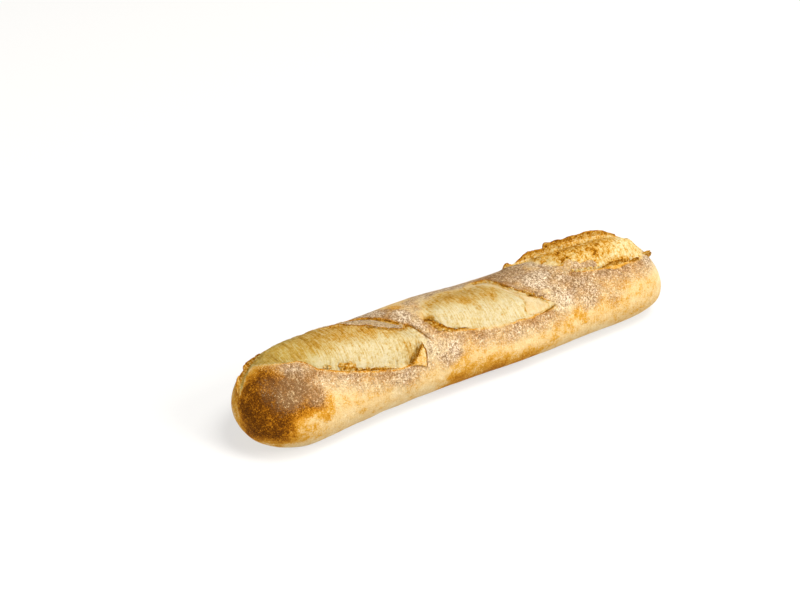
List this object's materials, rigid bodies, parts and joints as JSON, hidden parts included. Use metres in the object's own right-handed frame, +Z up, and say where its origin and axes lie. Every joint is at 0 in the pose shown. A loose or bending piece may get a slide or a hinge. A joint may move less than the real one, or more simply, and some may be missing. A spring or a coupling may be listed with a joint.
{
  "type": "rustic bread loaf",
  "caption": "Long uncut rustic loaf with rounded ends, a flat underside and slanting cuts on top that burst open into domed crumb between lips of crust.",
  "frame": {"origin": "centre of the loaf's box, on the surface it rests on", "axes": "+X along the loaf towards its blunter end, -Y towards the side with the low lips of the cuts, +Z up"},
  "size_m": [0.36, 0.087, 0.064],
  "materials": {
    "crust": "baked crust, matte golden brown with a dusting of flour, paler crumb in the cuts"
  },
  "bodies": {
    "root": {"loaf": "crust"}
  },
  "joints": []
}
